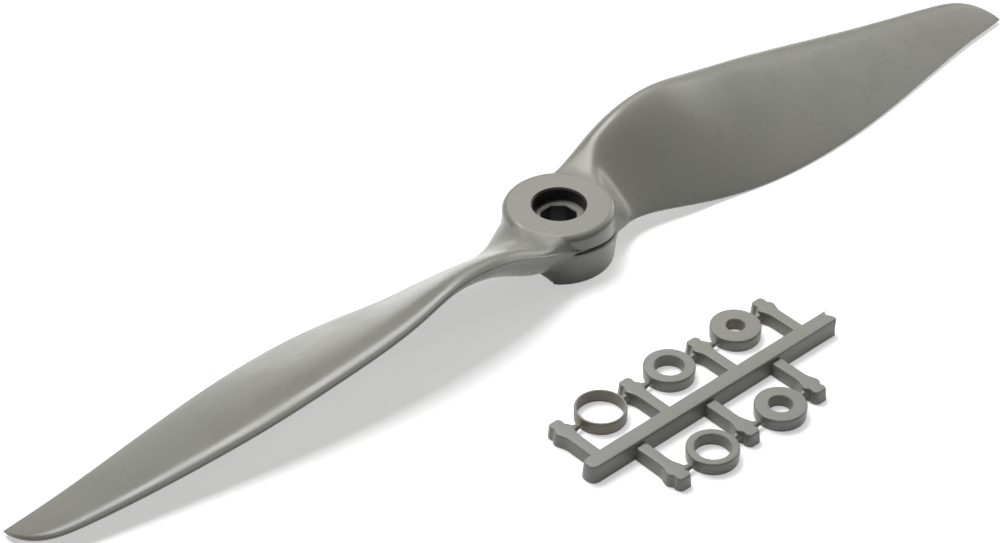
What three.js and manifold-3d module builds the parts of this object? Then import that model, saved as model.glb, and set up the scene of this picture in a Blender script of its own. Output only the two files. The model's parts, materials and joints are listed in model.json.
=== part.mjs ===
// Two-blade propeller for an electric model aircraft, 9 in diameter by 6 in pitch, with the sprue of
// bore adapter rings that comes with it. Millimetres, +Z up. The propeller lies front face up. The
// origin is the middle of the whole set's footprint, on the surface that it lies on. The bore axis
// stands at x = 0, y = HUB_Y.
import * as THREE from 'three';
import { mergeVertices } from 'three/addons/utils/BufferGeometryUtils.js';
import Module from 'manifold-3d';

const wasm = await Module();
wasm.setup();

// ---------------------------------------------------------------- driving dimensions
const INCH = 25.4;
const RADIUS = 9 * INCH / 2;

const HUB = {
  height: 10.2,
  discRadius: 10,
  discRimFillet: 1.2,
  bodyTopRadius: 10.4,
  bodyBottomRadius: 9.95,
  bodyBottomEdge: 0.3,
  ledgeMean: 5.6,
  ledgeWave: 1.0,
  ledgeHighAngle: 70,
  bossHalfWidth: 7.4,
  bossHeight: 3,
};
const BORE = { acrossFlats: INCH / 4, flats: 8, turn: 25 };
const RECESS = { radius: 4.65, depth: 2.6, chamfer: 0.35 };
const RING = { outer: 9.0, height: 2.4, edge: 0.15 };
const RING_BORES = { upper: [8.0, 5.0, 3.2], lower: [6.0, 4.0] };

const SPRUE = {
  pitch: 15.8,
  runnerStart: -37.9,
  runnerEnd: 18.4,
  runnerWidth: 3.2,
  runnerHeight: 3.3,
  armWidth: 2.3,
  armHeight: 2.5,
  firstUpperArm: -33.9,
  firstLowerArm: -27.2,
  ringShift: 0.5,
  upperArms: 4,
  lowerArms: 3,
  ringOffset: 9.6,
  armReach: 12.3,
  gateGap: 0.3,
  head: { endRadius: 1.6, flare: 2.0, shoulder: 1.9, gateHalf: 0.3 },
  breakNotch: 1.1,
  breakSpike: 1.3,
};
const HUB_TO_RUNNER = 47.2;
const BLADE_REACH = 12;
const HUB_Y = (HUB_TO_RUNNER + SPRUE.armReach - BLADE_REACH) / 2;

// One blade along +X. Each station: distance from the axis, the trailing edge's y and z, the chord
// and its pitch angle in degrees, the upper surface's greatest rise above the chord line, and the
// section's greatest thickness under a plain arch of that rise, both upright.
const STATIONS = [
  { x: 0, teY: -8.2, teZ: 5.6, chord: 18.0, angle: 2.5, rise: 3.6, thick: 4.5 },
  { x: 8, teY: -7.3, teZ: 4.7, chord: 16.8, angle: 13.9, rise: 3.2, thick: 8.4 },
  { x: 12, teY: -5.65, teZ: 3.7, chord: 16.45, angle: 24.5, rise: 2.7, thick: 7.6 },
  { x: 16, teY: -5.4, teZ: 3.1, chord: 17.7, angle: 31.7, rise: 2.4, thick: 6.3 },
  { x: 24, teY: -7.3, teZ: 2.1, chord: 21.6, angle: 36.3, rise: 2.3, thick: 4.6 },
  { x: 32, teY: -9.1, teZ: 0.9, chord: 24.2, angle: 36.4, rise: 2.1, thick: 3.5 },
  { x: 40, teY: -10.8, teZ: 0.5, chord: 25.4, angle: 30.8, rise: 2.0, thick: 2.9 },
  { x: 56, teY: -12.0, teZ: 0.55, chord: 24.9, angle: 23.1, rise: 1.8, thick: 2.3 },
  { x: 72, teY: -10.8, teZ: 0.65, chord: 21.5, angle: 18.5, rise: 1.5, thick: 1.9 },
  { x: 88, teY: -8.3, teZ: 0.8, chord: 16.4, angle: 15.4, rise: 1.15, thick: 1.5 },
  { x: 104, teY: -5.7, teZ: 1.0, chord: 11.0, angle: 13.1, rise: 0.75, thick: 1.1 },
  { x: RADIUS, teY: -4.6, teZ: 1.0, chord: 7.6, angle: 12.0, rise: 0.45, thick: 0.8 },
];
const TIP = { start: 102, roundness: 5, last: 0.997 };
const EDGE = { leading: 0.6, trailing: 0.4, noseBulge: 0.25 };
const NOSE_POWER = { root: 0.75, outboard: 0.5, settled: 30 };
// The upper surface rises quickly over its nose and falls slowly to the trailing edge. Where a blade leaves the hub its top is instead
// a nearly flat table, with a steep foot at the trailing edge, under a soft ceiling at the height of
// the hub's face. The table fades into the camber, and the ceiling climbs, along the span.
const CAMBER = { nose: 0.13, trailingPower: 0.8, highest: 0.672 };
const ROOT_TABLE = {
  nose: 0.14,
  trailingPower: 0.3,
  foot: 0.055,
  gain: 1.8,
  fadeFrom: 9,
  fadeTo: 14,
};
const ROOT_CEILING = { level: 8, climb: 0.06, softness: 0.8 };
const MESH = {
  chordSteps: 12,
  noseSteps: 4,
  rootEnd: 36,
  rootStep: 2,
  spanStep: 6,
  tipSteps: 9,
  around: 64,
  ringAround: 48,
};

// ---------------------------------------------------------------- solids
function toSolid(geometry) {
  const bare = geometry.clone();
  bare.deleteAttribute('normal');
  bare.deleteAttribute('uv');
  const merged = mergeVertices(bare, 1e-4);
  return new wasm.Manifold(new wasm.Mesh({
    numProp: 3,
    vertProperties: new Float32Array(merged.attributes.position.array),
    triVerts: new Uint32Array(merged.index.array),
  }));
}

function toGeometry(solid) {
  const mesh = solid.getMesh();
  const geometry = new THREE.BufferGeometry();
  geometry.setAttribute('position', new THREE.BufferAttribute(new Float32Array(mesh.vertProperties), 3));
  geometry.setIndex(new THREE.BufferAttribute(new Uint32Array(mesh.triVerts), 1));
  geometry.computeVertexNormals();
  return geometry;
}

// A lathe turns about +Y, so a profile of (radius, height) points is stood up along +Z.
function lathe(profile, around, phase = 0) {
  const points = profile.map(([radius, height]) => new THREE.Vector2(radius, height));
  const geometry = new THREE.LatheGeometry(points, around, phase);
  geometry.rotateX(Math.PI / 2);
  return geometry;
}

function extrude(shape, height, steps = 6) {
  return new THREE.ExtrudeGeometry(shape, { depth: height, bevelEnabled: false, curveSegments: steps });
}

function arcPoints(centre, radius, from, to, steps) {
  return Array.from({ length: steps + 1 }, (_, i) => {
    const angle = THREE.MathUtils.degToRad(THREE.MathUtils.lerp(from, to, i / steps));
    return [centre[0] + radius * Math.cos(angle), centre[1] + radius * Math.sin(angle)];
  });
}

// ---------------------------------------------------------------- blade
const stationCurve = (() => {
  const keys = ['teY', 'teZ', 'chord', 'angle', 'rise', 'thick'];
  const xs = STATIONS.map((station) => station.x);
  const values = STATIONS.flatMap((station) => keys.map((key) => station[key]));
  const spline = new THREE.CubicInterpolant(xs, values, keys.length);
  return (x) => Object.fromEntries(keys.map((key, i) => [key, spline.evaluate(x)[i]]));
})();

function softMinimum(a, b, softness) {
  return (a + b - Math.hypot(a - b, softness)) / 2;
}

// A hump over the chord from the leading edge to the trailing edge, 1 at its highest.
function hump(share, leading, trailing) {
  const peak = leading / (leading + trailing);
  return (share ** leading * (1 - share) ** trailing) / (peak ** leading * (1 - peak) ** trailing);
}

// The upper surface's rise at a share of the chord, as a share of the section's greatest rise.
function riseShape(x, share) {
  const foot = 1 - Math.exp((share - 1) / ROOT_TABLE.foot);
  const table = foot * ROOT_TABLE.gain * (1 - Math.exp(-share / ROOT_TABLE.nose))
    * (1 - share) ** ROOT_TABLE.trailingPower;
  const camber = (1 - Math.exp(-share / CAMBER.nose)) * (1 - share) ** CAMBER.trailingPower
    / CAMBER.highest;
  const faded = THREE.MathUtils.smoothstep(x, ROOT_TABLE.fadeFrom, ROOT_TABLE.fadeTo);
  return THREE.MathUtils.lerp(table, camber, faded);
}

// Height of the upper and lower surfaces at a share of the chord, 0 at the leading edge.
function sectionHeights(x, station, chord, share) {
  const settled = THREE.MathUtils.smoothstep(x, 0, NOSE_POWER.settled);
  const power = THREE.MathUtils.lerp(NOSE_POWER.root, NOSE_POWER.outboard, settled);
  const scale = chord / station.chord;
  const slope = Math.tan(THREE.MathUtils.degToRad(station.angle));
  const run = chord * Math.cos(THREE.MathUtils.degToRad(station.angle));
  const chordLine = station.teZ + (1 - share) * run * slope;
  const arch = Math.sin(Math.PI * share ** THREE.MathUtils.lerp(1, 0.8, settled));
  const edge = THREE.MathUtils.lerp(EDGE.leading, EDGE.trailing, share);
  const thickness = edge + scale * (station.thick - edge) * hump(share, power, 1);
  const lower = chordLine + scale * station.rise * arch - thickness;
  const full = chordLine + scale * station.rise * riseShape(x, share);
  const ceiling = HUB.height + ROOT_CEILING.climb * Math.max(x - ROOT_CEILING.level, 0) ** 2;
  const upper = softMinimum(full, ceiling, ROOT_CEILING.softness);
  return { y: station.teY + (1 - share) * run, upper, lower };
}

function tipFactor(x) {
  const past = THREE.MathUtils.clamp((x - TIP.start) / (RADIUS - TIP.start), 0, TIP.last);
  return Math.sqrt(1 - past ** TIP.roundness);
}

// The closed outline of one section: upper surface from trailing to leading edge, a rounded nose,
// and the lower surface back.
function sectionOutline(x) {
  const station = stationCurve(x);
  const chord = station.chord * tipFactor(x);
  const shares = Array.from({ length: MESH.chordSteps + 1 }, (_, i) => (
    (1 - Math.cos(Math.PI * i / MESH.chordSteps)) / 2
  ));
  const rows = shares.map((share) => sectionHeights(x, station, chord, share));
  const upper = rows.map((row) => [row.y, row.upper]).reverse();
  const lower = rows.map((row) => [row.y, row.lower]);
  const front = rows[0];
  const half = (front.upper - front.lower) / 2;
  const bulge = Math.min(EDGE.noseBulge, chord * 0.1);
  const nose = Array.from({ length: MESH.noseSteps - 1 }, (_, i) => {
    const turn = Math.PI * (i + 1) / MESH.noseSteps;
    return [front.y + bulge * Math.sin(turn), front.lower + half + half * Math.cos(turn)];
  });
  return [...upper, ...nose, ...lower];
}

// Cut places along the blade: close together where it twists out of the hub, wider along the span,
// and closing up towards the tip.
function bladeStations() {
  const { rootEnd, rootStep, spanStep, tipSteps } = MESH;
  const end = THREE.MathUtils.lerp(TIP.start, RADIUS, TIP.last);
  const xs = [];
  for (let x = 0; x < rootEnd; x += rootStep) xs.push(x);
  for (let x = rootEnd; x < TIP.start; x += spanStep) xs.push(x);
  for (let i = 0; i <= tipSteps; i += 1) {
    xs.push(THREE.MathUtils.lerp(TIP.start, end, Math.sin((Math.PI / 2) * (i / tipSteps))));
  }
  return xs;
}

function bladeGeometry() {
  const xs = bladeStations();
  const outlines = xs.map(sectionOutline);
  const count = outlines[0].length;
  const positions = outlines.flatMap((outline, i) => outline.flatMap(([y, z]) => [xs[i], y, z]));
  const index = [];
  for (let i = 0; i + 1 < xs.length; i += 1) {
    for (let j = 0; j < count; j += 1) {
      const a = i * count + j;
      const b = i * count + (j + 1) % count;
      index.push(a, a + count, b, b, a + count, b + count);
    }
  }
  // Each end is closed by strips between its upper and lower points.
  const capped = (first, flip) => {
    for (let near = 0, far = count - 1; near + 1 < far; near += 1, far -= 1) {
      const quad = [[near, near + 1, far], [near + 1, far - 1, far]];
      for (const [p, q, r] of quad) {
        if (q === r || p === q) continue;
        index.push(...(flip ? [first + p, first + r, first + q] : [first + p, first + q, first + r]));
      }
    }
  };
  capped(0, false);
  capped((xs.length - 1) * count, true);
  const geometry = new THREE.BufferGeometry();
  geometry.setAttribute('position', new THREE.Float32BufferAttribute(positions, 3));
  geometry.setIndex(index);
  return geometry;
}

// ---------------------------------------------------------------- hub
function ledgeHeight(angle) {
  const high = THREE.MathUtils.degToRad(HUB.ledgeHighAngle);
  return HUB.ledgeMean + HUB.ledgeWave * Math.cos(2 * (angle - high));
}

// The lower body, a little wider than the disc. Its top edge is the mould's parting line, which
// climbs from one blade's trailing edge to the other blade's leading edge.
function hubBody() {
  const edge = HUB.bodyBottomEdge;
  const corner = arcPoints([HUB.bodyBottomRadius - edge, edge], edge, -90, 0, 3);
  const profile = [[0, 0], ...corner, [HUB.bodyTopRadius, HUB.ledgeMean], [0, HUB.ledgeMean]];
  const geometry = lathe(profile, MESH.around);
  const position = geometry.attributes.position;
  for (let i = 0; i < position.count; i += 1) {
    const onRim = Math.hypot(position.getX(i), position.getY(i)) > 1;
    if (onRim && Math.abs(position.getZ(i) - HUB.ledgeMean) < 1e-6) {
      position.setZ(i, ledgeHeight(Math.atan2(position.getY(i), position.getX(i))));
    }
  }
  return geometry;
}

function hubDisc() {
  const fillet = HUB.discRimFillet;
  const low = HUB.ledgeMean - HUB.ledgeWave - 0.6;
  const rim = arcPoints([HUB.discRadius - fillet, HUB.height - fillet], fillet, 0, 90, 6);
  return lathe([[0, low], [HUB.discRadius, low], ...rim, [0, HUB.height]], MESH.around);
}

function ringRecess() {
  const floor = HUB.height - RECESS.depth;
  const mouth = RECESS.radius + RECESS.chamfer;
  const above = HUB.height + 1;
  const profile = [
    [0, floor],
    [RECESS.radius, floor],
    [RECESS.radius, HUB.height - RECESS.chamfer],
    [mouth, HUB.height],
    [mouth, above],
    [0, above],
  ];
  return lathe(profile, MESH.ringAround);
}

function shaftBore() {
  const corner = BORE.acrossFlats / 2 / Math.cos(Math.PI / BORE.flats);
  const geometry = lathe([[0, -1], [corner, -1], [corner, HUB.height], [0, HUB.height]], BORE.flats);
  geometry.rotateZ(THREE.MathUtils.degToRad(BORE.turn));
  return geometry;
}

// Below the blade roots the hub's body is cut back to two flats across the span.
function bossSide(direction) {
  const depth = HUB.bodyTopRadius + 1 - HUB.bossHalfWidth;
  const box = new THREE.BoxGeometry(depth, 2 * HUB.bodyTopRadius + 2, HUB.bossHeight + 1);
  const middle = direction * (HUB.bossHalfWidth + depth / 2);
  return box.translate(middle, 0, (HUB.bossHeight - 1) / 2);
}

function propellerGeometry() {
  const blade = bladeGeometry();
  const otherBlade = blade.clone().rotateZ(Math.PI);
  let solid = toSolid(hubBody()).subtract(toSolid(bossSide(1))).subtract(toSolid(bossSide(-1)));
  solid = solid.add(toSolid(hubDisc()));
  solid = solid.add(toSolid(blade)).add(toSolid(otherBlade));
  solid = solid.subtract(toSolid(ringRecess())).subtract(toSolid(shaftBore()));
  return toGeometry(solid);
}

// ---------------------------------------------------------------- adapter rings
function ringGeometry(bore) {
  const outer = RING.outer / 2;
  const inner = bore / 2;
  const edge = RING.edge;
  const profile = [
    [inner, edge],
    [inner + edge, 0],
    [outer - edge, 0],
    [outer, edge],
    [outer, RING.height - edge],
    [outer - edge, RING.height],
    [inner + edge, RING.height],
    [inner, RING.height - edge],
    [inner, edge],
  ];
  return lathe(profile, MESH.ringAround);
}

// ---------------------------------------------------------------- sprue
// One arm along +Y from the runner's middle, with a spade-shaped head. Each side of the head either
// swells to a plain shoulder or reaches out to a ring as a gate.
function armShape(leftReach, rightReach) {
  const half = SPRUE.armWidth / 2;
  const head = SPRUE.head;
  const endY = SPRUE.armReach - head.endRadius;
  const shape = new THREE.Shape();
  shape.moveTo(-half, 0);
  shape.lineTo(half, 0);
  shape.lineTo(half, SPRUE.ringOffset - head.flare);
  shape.lineTo(rightReach, SPRUE.ringOffset - head.gateHalf);
  shape.lineTo(rightReach, SPRUE.ringOffset + head.gateHalf);
  shape.lineTo(head.endRadius, endY);
  shape.absarc(0, endY, head.endRadius, 0, Math.PI, false);
  shape.lineTo(-leftReach, SPRUE.ringOffset + head.gateHalf);
  shape.lineTo(-leftReach, SPRUE.ringOffset - head.gateHalf);
  shape.lineTo(-half, SPRUE.ringOffset - head.flare);
  shape.closePath();
  return shape;
}

// The runner ends in a rounded corner at one end and in a broken fish tail at the other.
function runnerShape() {
  const half = SPRUE.runnerWidth / 2;
  const end = SPRUE.runnerEnd;
  const shape = new THREE.Shape();
  shape.moveTo(SPRUE.runnerStart + half, -half);
  shape.lineTo(end, -half);
  shape.lineTo(end - SPRUE.breakNotch, half * 0.2);
  shape.lineTo(end + SPRUE.breakSpike, half);
  shape.lineTo(SPRUE.runnerStart + half, half);
  shape.absarc(SPRUE.runnerStart + half, 0, half, Math.PI / 2, Math.PI * 1.5, false);
  return shape;
}

const upperArmX = (i) => SPRUE.firstUpperArm + i * SPRUE.pitch;
const lowerArmX = (i) => SPRUE.firstLowerArm + i * SPRUE.pitch;
const ringXAfter = (armX) => armX + SPRUE.pitch / 2 + SPRUE.ringShift;

// The arms of one row. The first and last heads have a ring on one side only.
function armRow(count, armX) {
  const midway = (SPRUE.pitch - RING.outer) / 2 - SPRUE.gateGap;
  const shoulder = SPRUE.head.shoulder;
  return Array.from({ length: count }, (_, i) => {
    const before = i === 0 ? shoulder : midway - SPRUE.ringShift;
    const after = i === count - 1 ? shoulder : midway + SPRUE.ringShift;
    return { x: armX(i), before, after };
  });
}

function sprueGeometry() {
  let solid = toSolid(extrude(runnerShape(), SPRUE.runnerHeight));
  for (const { x, before, after } of armRow(SPRUE.upperArms, upperArmX)) {
    const arm = extrude(armShape(before, after), SPRUE.armHeight);
    solid = solid.add(toSolid(arm.translate(x, 0, 0)));
  }
  for (const { x, before, after } of armRow(SPRUE.lowerArms, lowerArmX)) {
    const arm = extrude(armShape(after, before), SPRUE.armHeight).rotateZ(Math.PI);
    solid = solid.add(toSolid(arm.translate(x, 0, 0)));
  }
  return toGeometry(solid);
}

// ---------------------------------------------------------------- the set
function namedMesh(name, geometry, colour, roughness) {
  const material = new THREE.MeshStandardMaterial({ color: colour, roughness, metalness: 0 });
  const mesh = new THREE.Mesh(geometry, material);
  mesh.name = name;
  return mesh;
}

function buildSprue() {
  const group = new THREE.Group();
  group.add(namedMesh('sprue', sprueGeometry(), 0x8a8c84, 0.5));
  const addRing = (bore, x, y, colour) => {
    const name = `adapter_ring_${bore.toFixed(1).replace('.', '_')}mm`;
    const ring = namedMesh(name, ringGeometry(bore), colour, 0.5);
    ring.position.set(x, y, 0);
    group.add(ring);
  };
  RING_BORES.upper.forEach((bore, i) => {
    addRing(bore, ringXAfter(upperArmX(i)), SPRUE.ringOffset, bore > 7 ? 0x8f867c : 0x8a8c84);
  });
  RING_BORES.lower.forEach((bore, i) => {
    addRing(bore, ringXAfter(lowerArmX(i)), -SPRUE.ringOffset, 0x8a8c84);
  });
  return group;
}

function buildSet() {
  const set = new THREE.Group();
  const propeller = namedMesh('propeller', propellerGeometry(), 0x85877e, 0.45);
  propeller.position.y = HUB_Y;
  const sprue = buildSprue();
  sprue.position.y = HUB_Y - HUB_TO_RUNNER;
  set.add(propeller, sprue);
  return set;
}

export default buildSet();
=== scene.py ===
"""Two-blade electric propeller and its sprue of adapter rings, on a pale floor.

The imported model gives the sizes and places. The visible pieces are fine meshes made from the same
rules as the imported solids, in millimetres, and turned into metres as they are made.
"""
import json
import math
import random

import bmesh
import bpy
import numpy as np
from mathutils import Matrix, Vector


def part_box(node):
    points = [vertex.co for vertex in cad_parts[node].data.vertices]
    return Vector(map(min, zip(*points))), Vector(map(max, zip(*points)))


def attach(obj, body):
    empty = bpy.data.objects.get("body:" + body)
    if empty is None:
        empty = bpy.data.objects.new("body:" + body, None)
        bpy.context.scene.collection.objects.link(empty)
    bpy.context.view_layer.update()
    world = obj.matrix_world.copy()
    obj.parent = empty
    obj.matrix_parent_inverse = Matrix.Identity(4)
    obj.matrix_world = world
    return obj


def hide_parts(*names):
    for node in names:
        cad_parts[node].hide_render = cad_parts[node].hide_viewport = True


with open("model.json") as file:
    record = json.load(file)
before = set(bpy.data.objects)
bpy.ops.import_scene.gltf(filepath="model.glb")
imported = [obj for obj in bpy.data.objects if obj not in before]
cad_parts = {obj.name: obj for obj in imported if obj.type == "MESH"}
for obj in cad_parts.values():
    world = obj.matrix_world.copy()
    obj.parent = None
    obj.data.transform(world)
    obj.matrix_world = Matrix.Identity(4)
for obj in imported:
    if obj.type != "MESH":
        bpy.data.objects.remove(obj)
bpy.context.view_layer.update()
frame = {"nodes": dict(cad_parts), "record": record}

MM = 0.001


# ---------------------------------------------------------------- sizes from the frame, in mm
def box_mm(node):
    """Lowest and highest corner of a CAD node, in mm."""
    low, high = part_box(node)
    return np.array(low) / MM, np.array(high) / MM


def centre_mm(node):
    low, high = box_mm(node)
    return (low + high) / 2


def mount_mm(name):
    """A mount's point, in mm."""
    found = [m for m in frame["record"]["mounts"] if m["name"] == name]
    return np.array(found[0]["pos_m"]) / MM


HUB_X, HUB_Y = centre_mm("propeller")[:2]
INCH = 25.4
RADIUS = 9 * INCH / 2
HUB_HEIGHT = mount_mm("hub_front_face")[2]
RECESS_FLOOR = mount_mm("recess_floor")[2]

# The hub: a disc with a rounded rim, on a lower body that widens upwards to a wavy parting ledge. A
# groove runs round the disc just above the ledge.
DISC_RADIUS = 10.0
DISC_FILLET = 1.2
BODY_TOP_RADIUS = 10.4
BODY_BOTTOM_RADIUS = 9.95
BODY_EDGE = 0.15
LEDGE_MEAN = 5.6
LEDGE_WAVE = 1.0
LEDGE_HIGH = math.radians(70)
LEDGE_ROUND = 0.32
GROOVE_DEPTH = 0.35
GROOVE_HEIGHT = 0.28
GROOVE_LIP = 0.1
BOSS_HALF_WIDTH = 7.4
BOSS_HEIGHT = 3.0
BOSS_EDGE = 0.4
BORE_FLATS = 8
BORE_HALF = INCH / 8
BORE_TURN = math.radians(25)
BORE_CHAMFER = 0.2
BORE_CORNER = 1.06
RECESS_RADIUS = 4.65
RECESS_CHAMFER = 0.3
RECESS_FOOT = 0.12
HUB_SEGMENTS = 240

# Blade stations, along +X from the axis: trailing edge y and z, chord, pitch angle in degrees, the
# section's greatest rise above its chord line, and its greatest thickness. They are the CAD's.
STATIONS = (
    (0, -8.2, 5.6, 18.0, 2.5, 3.6, 4.5),
    (8, -7.3, 4.7, 16.8, 13.9, 3.2, 8.4),
    (12, -5.65, 3.7, 16.45, 24.5, 2.7, 7.6),
    (16, -5.4, 3.1, 17.7, 31.7, 2.4, 6.3),
    (24, -7.3, 2.1, 21.6, 36.3, 2.3, 4.6),
    (32, -9.1, 0.9, 24.2, 36.4, 2.1, 3.5),
    (40, -10.8, 0.5, 25.4, 30.8, 2.0, 2.9),
    (56, -12.0, 0.55, 24.9, 23.1, 1.8, 2.3),
    (72, -10.8, 0.65, 21.5, 18.5, 1.5, 1.9),
    (88, -8.3, 0.8, 16.4, 15.4, 1.15, 1.5),
    (104, -5.7, 1.0, 11.0, 13.1, 0.75, 1.1),
    (RADIUS, -4.6, 1.0, 7.6, 12.0, 0.45, 0.8),
)
TIP_START = 102
TIP_ROUNDNESS = 5
LEADING_EDGE = 0.6
TRAILING_EDGE = 0.4
NOSE_BULGE = 0.25
NOSE_POWER_ROOT = 0.75
NOSE_POWER_SPAN = 0.5
NOSE_SETTLED = 30
ARCH_POWER_ROOT = 1
ARCH_POWER_SPAN = 0.8
TIP_EDGE_SHARE = 0.6

# The upper surface rises quickly over its nose and falls slowly to the trailing edge. Where a blade
# leaves the hub its top is instead a nearly flat table, with a steep foot at the trailing edge. The
# table fades into the camber along the span. A soft ceiling, which climbs along the span, limits both.
# CAMBER_HIGHEST is about the camber's own peak, and brings it to a height of 1.
CAMBER_NOSE = 0.13
CAMBER_TRAILING_POWER = 0.8
CAMBER_HIGHEST = 0.672
TABLE_NOSE = 0.14
TABLE_TRAILING_POWER = 0.3
TABLE_FOOT = 0.055
TABLE_GAIN = 1.8
TABLE_FADE = (9, 14)
CEILING_LEVEL = 8
CEILING_CLIMB = 0.06
CEILING_SOFTNESS = 0.8


# ---------------------------------------------------------------- small helpers
def smoothstep(value, low, high):
    """0 below low and 1 above high, with a smooth change between them."""
    t = np.clip((value - low) / (high - low), 0, 1)
    return t * t * (3 - 2 * t)


def lerp(a, b, t):
    return a + (b - a) * t


def natural_spline(xs, ys):
    """A smooth curve through the points, with no bend at its ends."""
    xs, ys = np.array(xs, float), np.array(ys, float)
    count = len(xs)
    gap = np.diff(xs)
    system, right = np.eye(count), np.zeros(count)
    for i in range(1, count - 1):
        system[i, i - 1:i + 2] = gap[i - 1], 2 * (gap[i - 1] + gap[i]), gap[i]
        right[i] = 6 * ((ys[i + 1] - ys[i]) / gap[i] - (ys[i] - ys[i - 1]) / gap[i - 1])
    bend = np.linalg.solve(system, right)

    def value(x):
        i = np.clip(np.searchsorted(xs, x, side="right") - 1, 0, count - 2)
        h = gap[i]
        a, b = (xs[i + 1] - x) / h, (x - xs[i]) / h
        curve = (a**3 - a) * bend[i] + (b**3 - b) * bend[i + 1]
        return a * ys[i] + b * ys[i + 1] + curve * h**2 / 6

    return value


def new_object(name, points_mm, faces):
    """A linked mesh object from points in mm."""
    mesh = bpy.data.meshes.new(name)
    mesh.from_pydata([Vector(p) * MM for p in points_mm], [], faces)
    mesh.update()
    obj = bpy.data.objects.new(name, mesh)
    bpy.context.scene.collection.objects.link(obj)
    return obj


def combine(target, tool, operation):
    """Adds tool to target, or cuts it away, and deletes tool."""
    modifier = target.modifiers.new("combine", "BOOLEAN")
    modifier.operation = operation
    modifier.solver = "MANIFOLD"
    modifier.object = tool
    bpy.context.view_layer.update()
    graph = bpy.context.evaluated_depsgraph_get()
    mesh = bpy.data.meshes.new_from_object(target.evaluated_get(graph))
    target.modifiers.clear()
    old = target.data
    target.data = mesh
    bpy.data.meshes.remove(old)
    bpy.data.objects.remove(tool)


def grid_faces(rows, columns):
    """Quads of a tube of closed rings, each of `columns` points."""
    faces = []
    for i in range(rows - 1):
        for j in range(columns):
            a, b = i * columns + j, i * columns + (j + 1) % columns
            faces.append((a, b, b + columns, a + columns))
    return faces


def capped_faces(rows, columns):
    """The same tube, with a face over each of its two ends."""
    first = tuple(range(columns))[::-1]
    last = tuple((rows - 1) * columns + j for j in range(columns))
    return grid_faces(rows, columns) + [first, last]


def lathe(name, profile, segments, radius_of=None, height_of=None):
    """Turns a profile of (radius, height) round Z. The profile starts and ends on the axis."""
    angles = np.arange(segments) * 2 * math.pi / segments
    points, inner = [(0, 0, profile[0][1])], profile[1:-1]
    for index, (radius, height) in enumerate(inner):
        for angle in angles:
            r = radius_of(radius, angle) if radius_of else radius
            z = height_of(index, height, angle) if height_of else height
            points.append((r * math.cos(angle), r * math.sin(angle), z))
    points.append((0, 0, profile[-1][1]))
    last = len(points) - 1
    faces = [tuple(1 + k for k in face) for face in grid_faces(len(inner), segments)]
    top = last - segments
    for j in range(segments):
        after = (j + 1) % segments
        faces.append((0, 1 + after, 1 + j))
        faces.append((last, top + j, top + after))
    return new_object(name, points, faces)


def arc(centre, radius, start, end, steps):
    """Points on an arc between two angles in degrees."""
    angles = np.radians(np.linspace(start, end, steps + 1))
    return [(centre[0] + radius * math.cos(a), centre[1] + radius * math.sin(a)) for a in angles]


def face_out(obj):
    """Turns all faces of a closed mesh outwards."""
    mesh = bmesh.new()
    mesh.from_mesh(obj.data)
    bmesh.ops.recalc_face_normals(mesh, faces=mesh.faces)
    mesh.to_mesh(obj.data)
    mesh.free()


def smooth_shading(obj, sharp_degrees):
    mesh = obj.data
    mesh.shade_smooth()
    mesh.set_sharp_from_angle(angle=math.radians(sharp_degrees))


# ---------------------------------------------------------------- blade
STATION_X = [row[0] for row in STATIONS]
CURVES = [natural_spline(STATION_X, [row[k] for row in STATIONS]) for k in range(1, 7)]


def tip_factor(x):
    """The share of a section's full size that is left at x, 1 until the blade's tip rounds off."""
    past = np.clip((x - TIP_START) / (RADIUS - TIP_START), 0, 1)
    return np.sqrt(1 - past**TIP_ROUNDNESS)


def hump(share, leading, trailing):
    """A hump over the chord from the leading edge to the trailing edge, 1 at its highest."""
    peak = leading / (leading + trailing)
    highest = peak**leading * (1 - peak) ** trailing
    return share**leading * (1 - share) ** trailing / highest


def rise_shape(x, share):
    """The upper surface's rise, as a share of the section's greatest rise."""
    foot = 1 - np.exp((share - 1) / TABLE_FOOT)
    table = foot * TABLE_GAIN * (1 - np.exp(-share / TABLE_NOSE)) * (1 - share) ** TABLE_TRAILING_POWER
    camber = (1 - np.exp(-share / CAMBER_NOSE)) * (1 - share) ** CAMBER_TRAILING_POWER / CAMBER_HIGHEST
    return lerp(table, camber, smoothstep(x, *TABLE_FADE))


def section(x, share):
    """y, upper z and lower z of the blade at x, at shares of the chord from the leading edge."""
    te_y, te_z, full_chord, angle, rise, thick = (float(curve(x)) for curve in CURVES)
    scale = float(tip_factor(x))
    chord = full_chord * scale
    settled = float(smoothstep(x, 0, NOSE_SETTLED))
    power = lerp(NOSE_POWER_ROOT, NOSE_POWER_SPAN, settled)
    run = chord * math.cos(math.radians(angle))
    climb = math.tan(math.radians(angle))
    chord_line = te_z + (1 - share) * run * climb
    arch = np.sin(math.pi * share ** lerp(ARCH_POWER_ROOT, ARCH_POWER_SPAN, settled))
    edge = lerp(LEADING_EDGE, TRAILING_EDGE, share)
    body = scale * (thick - edge) * hump(share, power, 1)
    thickness = edge * lerp(TIP_EDGE_SHARE, 1, scale) + body
    lower = chord_line + scale * rise * arch - thickness
    full = chord_line + scale * rise * rise_shape(x, share)
    ceiling = HUB_HEIGHT + CEILING_CLIMB * max(x - CEILING_LEVEL, 0) ** 2
    upper = (full + ceiling - np.hypot(full - ceiling, CEILING_SOFTNESS)) / 2
    return te_y + (1 - share) * run, upper, lower


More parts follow.
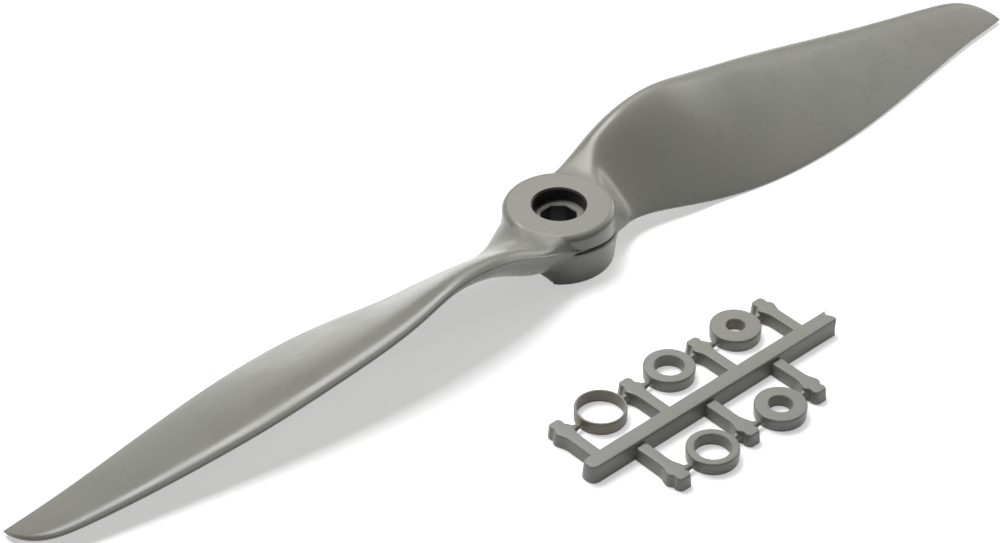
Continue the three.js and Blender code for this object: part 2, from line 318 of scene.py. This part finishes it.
def blade_outline(x, chord_steps, nose_steps):
    """The closed outline of one section, as (y, z), with a rounded nose and trailing edge."""
    share = (1 - np.cos(math.pi * np.arange(chord_steps + 1) / chord_steps)) / 2
    y, upper, lower = section(x, share)
    half = (upper[0] - lower[0]) / 2
    bulge = min(NOSE_BULGE, 0.1 * (y[0] - y[-1]))
    turn = math.pi * np.arange(1, nose_steps) / nose_steps
    nose = list(zip(y[0] + bulge * np.sin(turn), lower[0] + half + half * np.cos(turn)))
    half_te = (upper[-1] - lower[-1]) / 2
    tail_turn = math.pi * np.arange(1, 4) / 4
    tail = list(zip(
        y[-1] - 0.5 * half_te * np.sin(tail_turn), lower[-1] + half_te - half_te * np.cos(tail_turn)
    ))
    return list(zip(y, upper))[::-1] + nose + list(zip(y, lower)) + tail


def blade(name, chord_steps=44, nose_steps=8):
    """One blade along +X, from the bore axis to its tip, with its sections closest at both ends."""
    root_end, root_step, span_step = 36, 0.6, 1.2
    root = np.arange(0, root_end, root_step)
    span = np.arange(root_end, TIP_START, span_step)
    tip_end = RADIUS - 0.02
    tip = lerp(TIP_START, tip_end, np.sin(math.pi / 2 * np.linspace(0, 1, 26)))
    xs = np.concatenate([root, span, tip])
    outlines = [blade_outline(x, chord_steps, nose_steps) for x in xs]
    points = [(x, y, z) for x, outline in zip(xs, outlines) for y, z in outline]
    obj = new_object(name, points, capped_faces(len(xs), len(outlines[0])))
    face_out(obj)
    return obj


def half_turned(obj, name):
    """A copy of a piece, turned half way round the Z axis."""
    mesh = obj.data.copy()
    for vertex in mesh.vertices:
        vertex.co.x, vertex.co.y = -vertex.co.x, -vertex.co.y
    copy = bpy.data.objects.new(name, mesh)
    bpy.context.scene.collection.objects.link(copy)
    return copy


# ---------------------------------------------------------------- hub
def ledge_height(angle):
    """Height of the parting ledge, which rises and falls twice on its way round the hub."""
    return LEDGE_MEAN + LEDGE_WAVE * math.cos(2 * (angle - LEDGE_HIGH))


def hub_solid():
    """The disc and the lower body, with the wavy parting ledge and its groove between them.

    The heights of the wall and the disc's side are shares from 0 to 1, and those of the lip and the
    groove are measured from the ledge, so that the whole side follows the ledge's wave.
    """
    bottom = arc((BODY_BOTTOM_RADIUS - BODY_EDGE, BODY_EDGE), BODY_EDGE, -90, 0, 5)
    wall = [(lerp(BODY_BOTTOM_RADIUS, BODY_TOP_RADIUS, t), t) for t in np.linspace(0, 1, 17)[1:]]
    lip = arc((BODY_TOP_RADIUS - LEDGE_ROUND, -LEDGE_ROUND), LEDGE_ROUND, 0, 90, 6)[1:]
    groove_radius = DISC_RADIUS - GROOVE_DEPTH
    groove = [(groove_radius, 0), (groove_radius, GROOVE_HEIGHT)]
    groove += [(DISC_RADIUS - GROOVE_LIP, GROOVE_HEIGHT), (DISC_RADIUS, GROOVE_HEIGHT + GROOVE_LIP)]
    disc = [(DISC_RADIUS, t) for t in np.linspace(0, 1, 15)[1:]]
    fillet_z = HUB_HEIGHT - DISC_FILLET
    rim = arc((DISC_RADIUS - DISC_FILLET, fillet_z), DISC_FILLET, 0, 90, 12)[1:]
    face_rows = [(r, HUB_HEIGHT) for r in (8.0, 7.4, 6.8, 6.2, 5.6)]
    inner = bottom + wall + lip + groove + disc + rim + face_rows
    wall_start = len(bottom)
    ledge_start = wall_start + len(wall)
    disc_start = ledge_start + len(lip) + len(groove)
    rim_start = disc_start + len(disc)

    def height(index, value, angle):
        top = ledge_height(angle)
        if index < wall_start:
            return value
        if index < ledge_start:
            return lerp(BODY_EDGE, top - LEDGE_ROUND, value)
        if index < disc_start:
            return top + value
        if index < rim_start:
            return lerp(top + GROOVE_HEIGHT + GROOVE_LIP, fillet_z, value)
        return value

    profile = [(0, 0)] + inner + [(0, HUB_HEIGHT)]
    obj = lathe("hub", profile, HUB_SEGMENTS, height_of=height)
    face_out(obj)
    return obj


def boss_side(direction):
    """The tool that cuts the flat on the hub's lower body under one blade."""
    spare = 1
    depth = BODY_TOP_RADIUS + spare - BOSS_HALF_WIDTH
    width = 24
    mesh = bmesh.new()
    bmesh.ops.create_cube(mesh, size=1)
    for vertex in mesh.verts:
        vertex.co.x = (vertex.co.x * depth + direction * (BOSS_HALF_WIDTH + depth / 2)) * MM
        vertex.co.y *= width * MM
        vertex.co.z = (vertex.co.z * (BOSS_HEIGHT + spare) + (BOSS_HEIGHT - spare) / 2) * MM
    bmesh.ops.bevel(
        mesh, geom=mesh.edges[:], offset=BOSS_EDGE * MM, segments=4, affect="EDGES", profile=0.5
    )
    data = bpy.data.meshes.new("boss_side")
    mesh.to_mesh(data)
    mesh.free()
    obj = bpy.data.objects.new("boss_side", data)
    bpy.context.scene.collection.objects.link(obj)
    return obj


def recess_tool():
    """The tool that cuts the ring recess with its chamfered mouth."""
    mouth = RECESS_RADIUS + RECESS_CHAMFER
    profile = [(0, RECESS_FLOOR), (RECESS_RADIUS - RECESS_FOOT, RECESS_FLOOR)]
    profile += [(RECESS_RADIUS, RECESS_FLOOR + RECESS_FOOT)]
    profile += [(RECESS_RADIUS, HUB_HEIGHT - RECESS_CHAMFER), (mouth, HUB_HEIGHT)]
    profile += [(mouth, HUB_HEIGHT + 1), (0, HUB_HEIGHT + 1)]
    obj = lathe("recess", profile, 120)
    face_out(obj)
    return obj


def bore_tool():
    """The tool that cuts the through bore, an octagon with blunt corners and a chamfer at each end."""
    step = 2 * math.pi / BORE_FLATS

    def radius_of(radius, angle):
        local = (angle - BORE_TURN) % step - step / 2
        corner = radius / math.cos(local)
        return min(corner, radius * BORE_CORNER)

    mouth = BORE_HALF + BORE_CHAMFER
    below, above = -1, RECESS_FLOOR + 0.5
    profile = [
        (0, below), (mouth, below), (mouth, 0), (BORE_HALF, BORE_CHAMFER),
        (BORE_HALF, RECESS_FLOOR - BORE_CHAMFER), (mouth, RECESS_FLOOR), (mouth, above), (0, above),
    ]
    obj = lathe("bore", profile, 160, radius_of=radius_of)
    face_out(obj)
    return obj


# Each kind of soft corner: its reach in mm and its number of smoothing rounds.
SOFT_CORNERS = {"disc": (0.5, 6), "root": (1.5, 45), "boss": (0.7, 12)}
CORNER_ANGLE = math.radians(16)
CORNER_INNER = 6.5
CORNER_OUTER = 12
DISC_CORNER_ABOVE_LEDGE = 0.55
ROOT_CORNER_BELOW_LEDGE = 0.35


def corner_kind(edge):
    """Which soft corner an edge of the raw moulding lies on, or None."""
    if len(edge.link_faces) != 2 or edge.calc_face_angle() < CORNER_ANGLE:
        return None
    middle = (edge.verts[0].co + edge.verts[1].co) / 2 / MM
    if not CORNER_INNER < middle.xy.length < CORNER_OUTER:
        return None
    above_ledge = middle.z - ledge_height(math.atan2(middle.y, middle.x))
    if edge.is_convex:
        on_flat = abs(abs(middle.x) - BOSS_HALF_WIDTH) < 0.1 and middle.z < BOSS_HEIGHT
        return "boss" if on_flat else None
    if above_ledge > DISC_CORNER_ABOVE_LEDGE:
        return "disc"
    return "root" if above_ledge < -ROOT_CORNER_BELOW_LEDGE else None


def soften_corners(obj):
    """Rounds the corners where the blades run into the hub, and the edges of the boss flats."""
    mesh = bmesh.new()
    mesh.from_mesh(obj.data)
    bmesh.ops.triangulate(mesh, faces=[f for f in mesh.faces if len(f.verts) > 4])
    mesh.normal_update()
    seeds = {kind: [] for kind in SOFT_CORNERS}
    for edge in mesh.edges:
        kind = corner_kind(edge)
        if kind:
            seeds[kind] += [edge.verts[0].co / MM, edge.verts[1].co / MM]
    seeds = {kind: np.unique(np.round(points, 2), axis=0) for kind, points in seeds.items()}
    refine_near(mesh, np.concatenate([seeds["root"], seeds["boss"]]), reach=1.7, longest=0.32)
    refine_near(mesh, seeds["disc"], reach=0.6, longest=0.3)
    points = np.array([v.co for v in mesh.verts]) / MM
    pairs = np.array([[e.verts[0].index, e.verts[1].index] for e in mesh.edges])
    degree = np.bincount(pairs.ravel(), minlength=len(points))[:, None]
    for kind, (reach, rounds) in SOFT_CORNERS.items():
        weight = nearness(points, seeds[kind], reach)
        for _ in range(rounds):
            total = np.zeros_like(points)
            np.add.at(total, pairs[:, 0], points[pairs[:, 1]])
            np.add.at(total, pairs[:, 1], points[pairs[:, 0]])
            points += 0.5 * weight[:, None] * (total / degree - points)
        points[:, 2] = np.maximum(points[:, 2], 0)
    for vertex, point in zip(mesh.verts, points):
        vertex.co = point * MM
    mesh.to_mesh(obj.data)
    mesh.free()


def nearness(points, seeds, reach):
    """1 at the seed points, falling to 0 at reach from them. Blocks of points save memory."""
    block_size = 2000
    weight = np.zeros(len(points))
    close = np.flatnonzero(np.hypot(points[:, 0], points[:, 1]) < CORNER_OUTER + 3)
    for start in range(0, len(close), block_size):
        block = close[start:start + block_size]
        gap = np.linalg.norm(points[block][:, None] - seeds[None], axis=2).min(1)
        weight[block] = 1 - smoothstep(gap, 0.3 * reach, reach)
    return weight


def refine_near(mesh, seeds, reach, longest):
    """Splits edges longer than `longest` mm within reach of the seed points."""
    for _ in range(3):
        points = np.array([v.co for v in mesh.verts]) / MM
        weight = nearness(points, seeds, reach)
        mesh.verts.index_update()
        long_edges = [
            e for e in mesh.edges
            if e.calc_length() > longest * MM
            and max(weight[e.verts[0].index], weight[e.verts[1].index]) > 0
        ]
        if not long_edges:
            break
        bmesh.ops.subdivide_edges(mesh, edges=long_edges, cuts=1, use_grid_fill=True)
        bmesh.ops.triangulate(mesh, faces=[f for f in mesh.faces if len(f.verts) > 4])
    mesh.verts.index_update()


def place(obj, x, y, z=0.0):
    """Moves a piece's mesh into the row frame; its object stays at the origin."""
    obj.data.transform(Matrix.Translation((x * MM, y * MM, z * MM)))


def propeller():
    """Hub and both blades as one moulding, with the recess and the bore cut last."""
    body = hub_solid()
    for direction in (1, -1):
        combine(body, boss_side(direction), "DIFFERENCE")
    first = blade("blade")
    second = half_turned(first, "blade_2")
    combine(body, first, "UNION")
    combine(body, second, "UNION")
    soften_corners(body)
    combine(body, recess_tool(), "DIFFERENCE")
    combine(body, bore_tool(), "DIFFERENCE")
    body.name = "propeller_moulding"
    place(body, HUB_X, HUB_Y)
    smooth_shading(body, 32)
    return body


# ---------------------------------------------------------------- rings
def bore_size(node):
    """A ring's bore in mm, from its node's name: 3.2 for adapter_ring_3_2mm."""
    whole, tenths = node.removesuffix("mm").split("_")[-2:]
    return float(f"{whole}.{tenths}")


def ring(node):
    """One adapter ring: rounded outer edges, small chamfers at the bore, a slight draft outside."""
    low, high = box_mm(node)
    outer = (high[0] - low[0]) / 2
    height = high[2] - low[2]
    bore = bore_size(node) / 2
    wall = outer - bore
    edge = min(0.3, wall * 0.4)
    chamfer = min(0.15, wall * 0.2)
    draft = 0.06
    outside = arc((outer - edge, edge * 0.6), edge * 0.6, -90, 0, 4)
    outside += arc((outer - draft - edge, height - edge), edge, 0, 90, 8)
    inside = [(bore + chamfer, height), (bore, height - chamfer), (bore, chamfer), (bore + chamfer, 0)]
    profile = outside + inside
    segments = 144
    angles = np.arange(segments) * 2 * math.pi / segments
    points = [(r * math.cos(a), r * math.sin(a), z) for r, z in profile for a in angles]
    count = len(profile)
    faces = grid_faces(count, segments)
    last = (count - 1) * segments
    for j in range(segments):
        after = (j + 1) % segments
        faces.append((last + j, last + after, after, j))
    obj = new_object(node.replace("adapter_", "moulded_"), points, faces)
    face_out(obj)
    middle = (low + high) / 2
    place(obj, middle[0], middle[1], low[2])
    smooth_shading(obj, 40)
    return obj


# ---------------------------------------------------------------- sprue
RING_NODES = sorted(n for n in frame["nodes"] if n.startswith("adapter_ring"))
RING_CENTRES = {n: centre_mm(n) for n in RING_NODES}
RING_RADIUS = float((box_mm(RING_NODES[0])[1] - box_mm(RING_NODES[0])[0])[0] / 2)
SPRUE_LOW, SPRUE_HIGH = box_mm("sprue")
ROWS_Y = sorted({round(float(c[1]), 3) for c in RING_CENTRES.values()})
RUNNER_Y = sum(ROWS_Y) / 2
ROW_OFFSET = (ROWS_Y[1] - ROWS_Y[0]) / 2

# Each row has an arm on both sides of each ring, one pitch apart. The rings sit a little off the
# middle between their arms, so one gate of each ring is longer than the other.
PITCH = 15.8
RING_SHIFT = 0.5
RUNNER_HEIGHT = float(SPRUE_HIGH[2])
RUNNER_HALF = 1.75
RUNNER_ROUND = 1.7
ARM_HEIGHT = 2.5
ARM_HALF = 1.3
ARM_REACH = float(SPRUE_HIGH[1] - RUNNER_Y)
SHOULDER = 1.95
WAIST = 1.35
LOBE = 1.6

# A gate starts inside its arm's shoulder and ends just short of its ring: half width, half height
# and the height of its middle, at either end.
GATE_START = 0.9
GATE_ROOT_WIDTH = 1.35
GATE_ROOT_HEIGHT = 1.15
GATE_ROOT_MIDDLE = 1.25
GATE_HALF = 0.28
GATE_MIDDLE = 1.05
GATE_GAP = 0.04


def drafted_solid(name, outline, height, draft, top_round, bottom_round=0.12):
    """A moulded bar: an outline stood up, narrowing towards its top, with rounded edges.

    The outline is a ring of (x, y) points, anticlockwise, and is spaced finely enough to inset.
    """
    points = np.array(outline, float)
    before, after = np.roll(points, 1, axis=0), np.roll(points, -1, axis=0)
    along = after - before
    along /= np.linalg.norm(along, axis=1)[:, None]
    inward = np.stack([-along[:, 1], along[:, 0]], axis=1)
    levels = []
    for a in np.radians(np.linspace(0, 90, 4)):
        levels.append((bottom_round * (1 - math.sin(a)), bottom_round * (1 - math.cos(a))))
    wall_top = height - top_round
    for t in np.linspace(0.15, 1, 5):
        levels.append((draft * t, lerp(bottom_round, wall_top, t)))
    for a in np.radians(np.linspace(0, 90, 7))[1:]:
        levels.append((draft + top_round * (1 - math.cos(a)), wall_top + top_round * math.sin(a)))
    rings = [(points + inward * inset, z) for inset, z in levels]
    vertices = [(x, y, z) for flat, z in rings for x, y in flat]
    obj = new_object(name, vertices, capped_faces(len(rings), len(points)))
    face_out(obj)
    return obj


def even_outline(corners, spacing):
    """A closed outline through corners of (x, y, rounding), with its points evenly spaced."""
    places = np.array([corner[:2] for corner in corners], float)
    path = []
    for i, (here, corner) in enumerate(zip(places, corners)):
        to_before = places[i - 1] - here
        to_after = places[(i + 1) % len(places)] - here
        length_before, length_after = np.linalg.norm(to_before), np.linalg.norm(to_after)
        cut = min(corner[2], 0.48 * length_before, 0.48 * length_after)
        start = here + to_before / length_before * cut
        end = here + to_after / length_after * cut
        for t in np.linspace(0, 1, 7):
            path.append((1 - t) ** 2 * start + 2 * t * (1 - t) * here + t**2 * end)
    path = np.array(path + [path[0]])
    distance = np.concatenate([[0], np.cumsum(np.linalg.norm(np.diff(path, axis=0), axis=1))])
    even = np.linspace(0, distance[-1], int(distance[-1] / spacing) + 1)[:-1]
    return np.stack([np.interp(even, distance, path[:, k]) for k in (0, 1)], axis=1)


def runner():
    """The main bar: rounded at its free end, and torn off at the other with a fish-tail."""
    start, end = SPRUE_LOW[0], SPRUE_HIGH[0]
    half, spare = RUNNER_HALF, 2
    corners = [
        (start, RUNNER_Y - half, RUNNER_ROUND),
        (end + spare, RUNNER_Y - half, 0.1),
        (end + spare, RUNNER_Y + half, 0.1),
        (start, RUNNER_Y + half, RUNNER_ROUND),
    ]
    bar = drafted_solid("runner", even_outline(corners, 0.2), RUNNER_HEIGHT, 0.25, 0.3)
    combine(bar, torn_end(end), "DIFFERENCE")
    return bar


def torn_end(end):
    """The tool that tears off the runner's end: a wall with two peaks, rough from top to foot.

    The tear is given across the runner, as shares of its half width and how far back it goes in mm.
    """
    half = RUNNER_HALF
    tear = (
        (-2, 0.9), (-1, 0.85), (-0.75, 0.5), (-0.45, 0.35), (-0.1, 0.6), (0.3, 1.0),
        (0.6, 0.75), (0.85, 0.15), (1, 0), (2, 0),
    )
    roughness = random.Random(7)
    levels = np.linspace(-1, RUNNER_HEIGHT + 1, 9)
    points = []
    for z in levels:
        lean = 0.12 * (z / RUNNER_HEIGHT - 1)
        for side, back in tear:
            bump = roughness.uniform(-0.06, 0.06) if back else 0
            points.append((end - back + lean + bump, RUNNER_Y + side * half, z))
        for side, _ in tear[::-1]:
            points.append((end + 4, RUNNER_Y + side * half, z))
    obj = new_object("torn_end", points, capped_faces(len(levels), 2 * len(tear)))
    face_out(obj)
    return obj


def arm(index, x, side, before, after):
    """An arm with its spade head. side is +1 for the upper row and -1 for the lower one.

    before and after say how far its gates reach towards the rings at its two sides, or 0 for none.
    """
    half = [
        (ARM_HALF, 0, 0.1),
        (ARM_HALF, ROW_OFFSET - 2.1, 0.6),
        (SHOULDER, ROW_OFFSET - 0.4, 0.4),
        (SHOULDER, ROW_OFFSET + 0.3, 0.4),
        (WAIST, ROW_OFFSET + 1.0, 0.35),
        (LOBE, ARM_REACH - 1.1, 0.5),
        (0.7 * LOBE, ARM_REACH, 0.8),
    ]
    corners = half + [(-x, y, rounding) for x, y, rounding in half[::-1]]
    obj = drafted_solid(f"arm_{index}", even_outline(corners, 0.16), ARM_HEIGHT, 0.2, 0.28)
    for sign, distance in ((1, after), (-1, before)):
        if distance:
            combine(obj, gate(f"gate_{index}", sign, distance), "UNION")
    for vertex in obj.data.vertices:
        vertex.co.y *= side
    face_out(obj)
    place(obj, x, RUNNER_Y)
    return obj


def gate(name, sign, distance):
    """The gate from an arm's shoulder to a ring, along X: it narrows and thins to a blunt end."""
    segments, squareness = 24, 0.7
    stations = np.linspace(0, 1, 12)
    points = []
    for t in stations:
        wide = lerp(GATE_ROOT_WIDTH, GATE_HALF, t**0.6)
        high = lerp(GATE_ROOT_HEIGHT, GATE_HALF, t**0.9)
        middle = lerp(GATE_ROOT_MIDDLE, GATE_MIDDLE, t)
        for a in np.arange(segments) * 2 * math.pi / segments:
            across = math.copysign(abs(math.cos(a)) ** squareness, math.cos(a))
            up = math.copysign(abs(math.sin(a)) ** squareness, math.sin(a))
            x = sign * lerp(GATE_START, distance, t)
            points.append((x, ROW_OFFSET - 0.15 * (1 - t) + wide * across, middle + high * up))
    obj = new_object(name, points, capped_faces(len(stations), segments))
    face_out(obj)
    return obj


def row_arms(row_y, side):
    """Arm places of one row, from its rings: an arm before each ring and one after the last."""
    ring_xs = sorted(c[0] for c in RING_CENTRES.values() if abs(c[1] - row_y) < 1)
    behind, ahead = PITCH / 2 + RING_SHIFT, PITCH / 2 - RING_SHIFT
    arm_xs = [x - behind for x in ring_xs] + [ring_xs[-1] + ahead]
    short = ahead - RING_RADIUS - GATE_GAP
    long = behind - RING_RADIUS - GATE_GAP
    arms = []
    for i, x in enumerate(arm_xs):
        before = short if i else 0
        after = long if i < len(ring_xs) else 0
        arms.append((x, side, before, after))
    return arms


def sprue():
    """The runner with all its arms and gates as one moulding."""
    body = runner()
    arms = row_arms(ROWS_Y[1], 1) + row_arms(ROWS_Y[0], -1)
    for index, (x, side, before, after) in enumerate(arms):
        combine(body, arm(index, x, side, before, after), "UNION")
    body.name = "sprue_moulding"
    smooth_shading(body, 38)
    return body


# ---------------------------------------------------------------- materials
class Nodes:
    """A short way to write a material's node tree."""

    def __init__(self, name):
        self.material = bpy.data.materials.new(name)
        self.material.use_nodes = True
        self.tree = self.material.node_tree
        self.shader = self.tree.nodes["Principled BSDF"]
        self.place = self.tree.nodes.new("ShaderNodeTexCoord").outputs["Object"]

    def node(self, kind, **inputs):
        made = self.tree.nodes.new(kind)
        for key, value in inputs.items():
            self.set(made.inputs[key.replace("_", " ")], value)
        return made

    def set(self, socket, value):
        if isinstance(value, bpy.types.NodeSocket):
            self.tree.links.new(value, socket)
        else:
            socket.default_value = value

    def noise(self, per_mm, detail=3, roughness=0.5, stretch=(1, 1, 1)):
        """Soft noise of a given fineness, close to 0.5 on average."""
        mapping = self.node("ShaderNodeMapping", Vector=self.place)
        mapping.inputs["Scale"].default_value = stretch
        made = self.node(
            "ShaderNodeTexNoise", Vector=mapping.outputs["Vector"], Scale=per_mm / MM,
            Detail=detail, Roughness=roughness,
        )
        return made.outputs["Fac"]

    def ramp(self, value, stops):
        """A colour that changes with a value, through stops of (value, colour)."""
        made = self.node("ShaderNodeValToRGB", Fac=value)
        elements = made.color_ramp.elements
        while len(elements) < len(stops):
            elements.new(0.5)
        for element, (at, colour) in zip(elements, stops):
            element.position = at
            element.color = (*colour, 1)
        return made.outputs["Color"]

    def range(self, value, low, high, from_low=0.3, from_high=0.7):
        """Stretches a value from one range onto another."""
        made = self.node("ShaderNodeMapRange", Value=value)
        for key, number in (
            ("From Min", from_low), ("From Max", from_high), ("To Min", low), ("To Max", high)
        ):
            made.inputs[key].default_value = number
        return made.outputs["Result"]

    def mix(self, factor, first, second, blend="MIX"):
        made = self.tree.nodes.new("ShaderNodeMix")
        made.data_type = "RGBA"
        made.blend_type = blend
        self.set(made.inputs["Factor"], factor)
        self.set(made.inputs[6], first)
        self.set(made.inputs[7], second)
        return made.outputs[2]


def shade(colour, factor):
    return tuple(c * factor for c in colour)


# The nylon's noises, in repeats per mm: clouds and warm areas in its colour, grain in its colour and
# its surface, waves in its surface, patches in its sheen, and the pale specks.
CLOUDS_PER_MM = 0.05
WARMTH_PER_MM = 0.03
GRAIN_PER_MM = 1.6
WAVES_PER_MM = 0.35
PATCHES_PER_MM = 0.12
SPECKS_PER_MM = 0.16
GRAIN_DEPTH = 0.03
WAVE_DEPTH = 0.25


def nylon(name, colour, roughness, warm=(1.06, 1.0, 0.93), specks=0.0):
    """Glass-filled nylon as it comes from the mould: cloudy grey, a fine grain, a soft sheen."""
    n = Nodes(name)
    cloud = n.noise(CLOUDS_PER_MM, detail=4, stretch=(0.4, 1, 1))
    base = n.ramp(cloud, [(0.3, shade(colour, 0.94)), (0.7, shade(colour, 1.06))])
    tint = tuple(c * w for c, w in zip(colour, warm))
    base = n.mix(n.range(n.noise(WARMTH_PER_MM, detail=2), 0, 0.5), base, (*tint, 1))
    fine = n.noise(GRAIN_PER_MM, detail=3, roughness=0.6)
    base = n.mix(n.range(fine, 0, 0.22), base, (*shade(colour, 1.18), 1))
    if specks:
        dots = n.node("ShaderNodeTexVoronoi", Vector=n.place, Scale=SPECKS_PER_MM / MM)
        near = n.range(dots.outputs["Distance"], 1, 0, 0.02, 0.05)
        base = n.mix(near, base, (*shade(colour, 1 + specks), 1))
    n.set(n.shader.inputs["Base Color"], base)
    patchy = n.noise(PATCHES_PER_MM, detail=3)
    n.set(n.shader.inputs["Roughness"], n.range(patchy, roughness - 0.05, roughness + 0.07))
    n.set(n.shader.inputs["Specular IOR Level"], 0.5)
    bump = n.node("ShaderNodeBump", Height=fine, Strength=0.175, Distance=GRAIN_DEPTH * MM)
    wide = n.node(
        "ShaderNodeBump", Height=n.noise(WAVES_PER_MM, detail=3), Strength=0.12,
        Distance=WAVE_DEPTH * MM, Normal=bump.outputs["Normal"],
    )
    n.set(n.shader.inputs["Normal"], wide.outputs["Normal"])
    return n.material


def paint(obj, material):
    """Gives a piece its material."""
    obj.data.materials.clear()
    obj.data.materials.append(material)


# ---------------------------------------------------------------- stage, light and camera
FLOOR_HALF = 3000
FLOOR_DROP = 0.02
FLOOR_GLOW = 0.5
MIRRORED_GLOW = 0.5

# Softboxes that face the hub: compass angle from +X and height angle in degrees, and watts.
SOFTBOXES = {
    "low_right": (0, 18, 0.97),
    "back_right": (45, 42, 0.58),
    "high_back": (90, 66, 3.42),
}
SOFTBOX_DISTANCE = 600
SOFTBOX_WIDTH = 400
SOFTBOX_HEIGHT = 300
EVEN_LIGHT = 0.02

AZIMUTH = math.radians(-42)
ELEVATION = math.radians(38.17)
DISTANCE = 497.8
LENS = 102.6
SENSOR_WIDTH = 36
AIM_FROM_HUB = (-12.5, 1.5, 0.9)


def floor():
    """A plain pale sheet whose faint glow shows directly and in glossy reflections."""
    half = FLOOR_HALF
    corners = [(-half, -half, 0), (half, -half, 0), (half, half, 0), (-half, half, 0)]
    obj = new_object("floor", corners, [(0, 1, 2, 3)])
    obj.location.z = -FLOOR_DROP * MM
    n = Nodes("pale_floor")
    n.set(n.shader.inputs["Base Color"], (0.9, 0.9, 0.9, 1))
    n.set(n.shader.inputs["Roughness"], 0.9)
    n.set(n.shader.inputs["Specular IOR Level"], 0.1)
    n.set(n.shader.inputs["Emission Color"], (1, 1, 1, 1))
    path = n.node("ShaderNodeLightPath")
    to_camera = n.range(path.outputs["Is Camera Ray"], 0, FLOOR_GLOW, 0, 1)
    mirrored = n.range(path.outputs["Is Glossy Ray"], 0, MIRRORED_GLOW, 0, 1)
    glow = n.tree.nodes.new("ShaderNodeMath")
    n.set(glow.inputs[0], to_camera)
    n.set(glow.inputs[1], mirrored)
    n.set(n.shader.inputs["Emission Strength"], glow.outputs["Value"])
    obj.data.materials.append(n.material)


def softbox(name, compass, height, watts):
    """One soft rectangular light, aimed at the hub."""
    a, e = math.radians(compass), math.radians(height)
    outward = Vector((math.cos(a) * math.cos(e), math.sin(a) * math.cos(e), math.sin(e)))
    data = bpy.data.lights.new(name, "AREA")
    data.shape = "RECTANGLE"
    data.size, data.size_y = SOFTBOX_WIDTH * MM, SOFTBOX_HEIGHT * MM
    data.energy = watts
    obj = bpy.data.objects.new(name, data)
    obj.location = (Vector((HUB_X, HUB_Y, 0)) + outward * SOFTBOX_DISTANCE) * MM
    obj.rotation_euler = (-outward).to_track_quat("-Z", "Y").to_euler()
    bpy.context.scene.collection.objects.link(obj)


def lights():
    """The softboxes, and a weak even light from all sides."""
    for name, values in SOFTBOXES.items():
        softbox(name, *values)
    world = bpy.data.worlds.new("studio")
    world.use_nodes = True
    background = world.node_tree.nodes["Background"]
    background.inputs["Color"].default_value = (1, 1, 1, 1)
    background.inputs["Strength"].default_value = EVEN_LIGHT
    bpy.context.scene.world = world
    bpy.context.scene.view_settings.view_transform = "Standard"


def camera():
    """A long lens that looks down on the hub from the front left."""
    back = Vector((
        math.sin(AZIMUTH) * math.cos(ELEVATION),
        -math.cos(AZIMUTH) * math.cos(ELEVATION),
        math.sin(ELEVATION),
    ))
    aim = Vector((HUB_X, HUB_Y, 0)) + Vector(AIM_FROM_HUB)
    data = bpy.data.cameras.new("camera")
    data.lens = LENS
    data.sensor_width = SENSOR_WIDTH
    data.clip_start = 0.01
    obj = bpy.data.objects.new("camera", data)
    obj.location = (aim + back * DISTANCE) * MM
    obj.rotation_euler = back.to_track_quat("Z", "Y").to_euler()
    bpy.context.scene.collection.objects.link(obj)
    bpy.context.scene.camera = obj


# ---------------------------------------------------------------- build
GREY = (0.27, 0.275, 0.245)
SPRUE_GREY = (0.27, 0.275, 0.25)
THIN_GREY = (0.30, 0.27, 0.235)
# How dark the painted shade on the bore and recess walls is, as a share of the nylon's colour.
BORE_PAINTED_SHADE = 0.12
BODIES = frame["record"]["behaviour"]["bodies"]
BODY_OF = {node: body for body, nodes in BODIES.items() for node in nodes}


def stand_for(piece, node, material):
    """A finished piece takes the place of a CAD node, on that node's body."""
    paint(piece, material)
    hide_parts(node)
    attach(piece, BODY_OF[node])


def paint_shade_in_bore(piece, material):
    """Gives the walls of the bore and the ring recess, with its mouth, a dark copy of the nylon:
    painted shade that stands in for the shadow inside them.
    """
    piece.data.materials.append(material)
    inside = (RECESS_RADIUS + RECESS_CHAMFER + 0.02) * MM
    mouth = (HUB_HEIGHT - RECESS_CHAMFER) * MM
    for face in piece.data.polygons:
        from_axis = (face.center.xy - Vector((HUB_X, HUB_Y)) * MM).length
        steepest = 0.9 if face.center.z > mouth else 0.5
        if from_axis < inside and abs(face.normal.z) < steepest:
            face.material_index = 1


def build():
    """Makes every piece in the place of its CAD node."""
    propeller_nylon = nylon("propeller_nylon", GREY, 0.28, specks=0.35)
    sprue_nylon = nylon("sprue_nylon", SPRUE_GREY, 0.36)
    thin_nylon = nylon("thin_ring_nylon", THIN_GREY, 0.45, warm=(1.1, 0.98, 0.88))
    moulding = propeller()
    stand_for(moulding, "propeller", propeller_nylon)
    # Painted shade: the bore and recess walls get a darker copy of the nylon in place of their shadow.
    paint_shade_in_bore(moulding, nylon("bore_painted_shade", shade(GREY, BORE_PAINTED_SHADE), 0.5))
    stand_for(sprue(), "sprue", sprue_nylon)
    for node in RING_NODES:
        material = thin_nylon if "8_0" in node else sprue_nylon
        stand_for(ring(node), node, material)


build()
floor()
lights()
camera()
